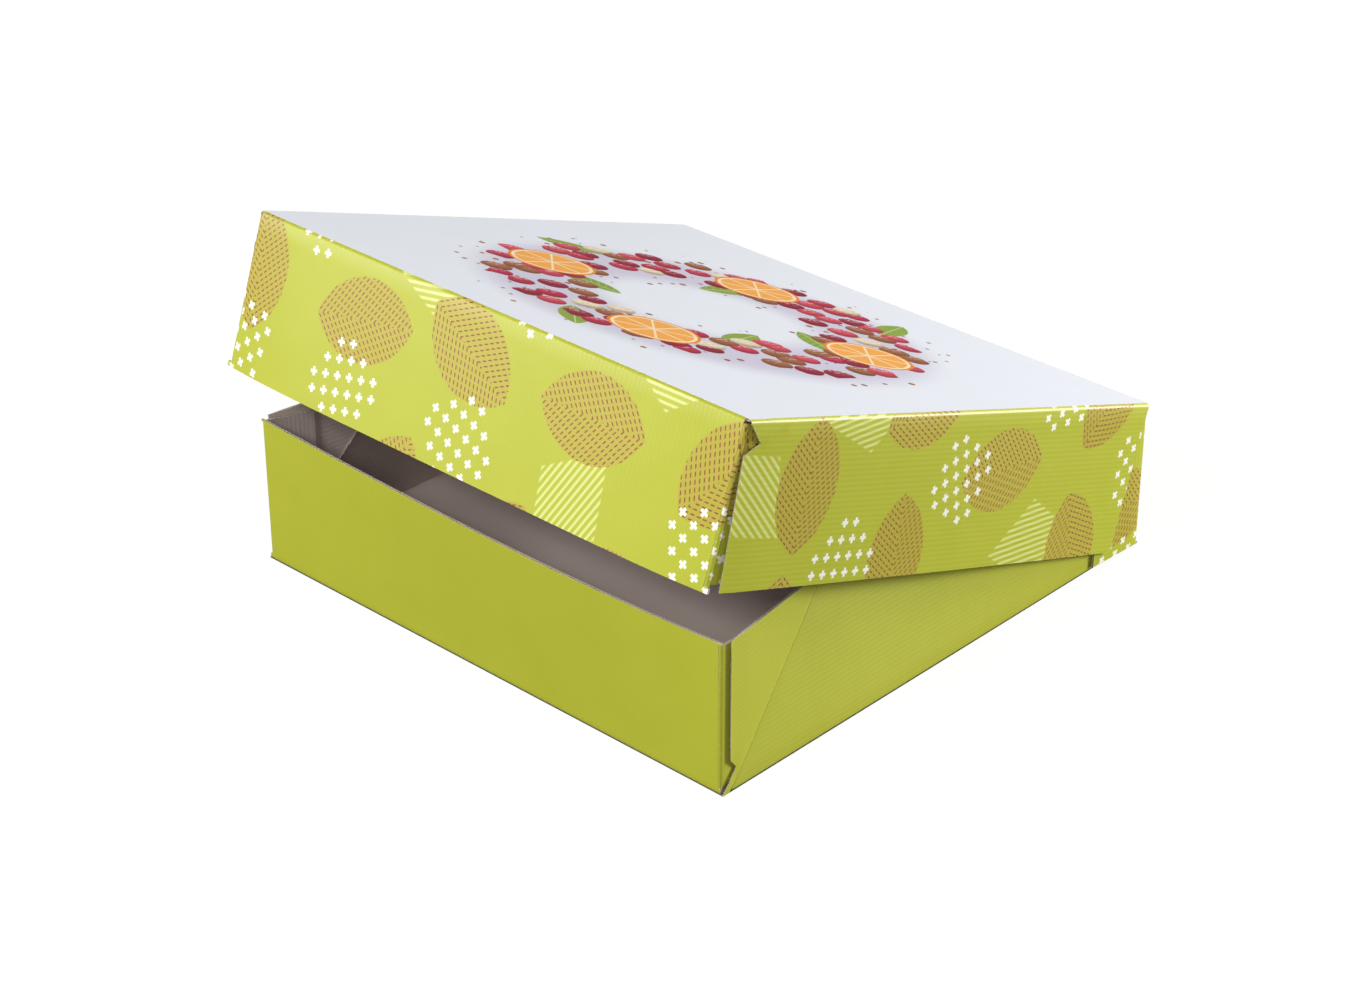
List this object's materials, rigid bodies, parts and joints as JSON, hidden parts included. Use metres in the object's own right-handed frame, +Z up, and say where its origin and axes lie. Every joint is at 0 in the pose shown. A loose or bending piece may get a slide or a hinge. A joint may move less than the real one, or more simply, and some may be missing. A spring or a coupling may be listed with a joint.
{
  "type": "pastry box",
  "caption": "Square folding board box for pastries: a low tray with glued, gusseted corners and an attached lid whose deep skirts close over the tray's walls.",
  "frame": {"origin": "centre of the tray's underside, on the surface that the box stands on", "axes": "+Z up; the front wall faces -Y and the lid's hinge crease runs along X at the rear, so the box is the same on both sides of the plane X = 0"},
  "size_m": [0.2556, 0.2617, 0.1505],
  "materials": {
    "plain_lime": "matt lime print on fluted board",
    "printed_lime": "satin lime print with ochre and white motifs",
    "lid_white": "satin white print",
    "tray_inside": "unprinted taupe-brown inner liner",
    "glue": "dried white adhesive"
  },
  "bodies": {
    "tray": {"bottom_panel": "tray_inside", "front_wall": "plain_lime", "rear_wall": "printed_lime", "side_wall_left": "plain_lime", "side_wall_right": "plain_lime", "corner_gusset_left": "plain_lime", "corner_gusset_right": "plain_lime", "front_flap_left": "plain_lime", "front_flap_right": "plain_lime", "front_glue_left": "glue", "front_glue_right": "glue", "rear_flap_left": "printed_lime", "rear_flap_right": "printed_lime", "rear_glue_left": "glue", "rear_glue_right": "glue", "lid_hinge_crease": "printed_lime"},
    "lid": {"lid_panel": "lid_white", "lid_front_skirt": "printed_lime", "lid_side_skirt_left": "printed_lime", "lid_side_skirt_right": "printed_lime", "lid_flap_left": "printed_lime", "lid_flap_right": "printed_lime", "lid_glue_left": "glue", "lid_glue_right": "glue"}
  },
  "joints": [
    {"name": "lid_hinge", "type": "hinge", "parent": "tray", "child": "lid", "pos_m": [0, 0.1245, 0.0649], "axis": [-1, 0, 0], "range_deg": [-19.5, 174.5]}
  ]
}
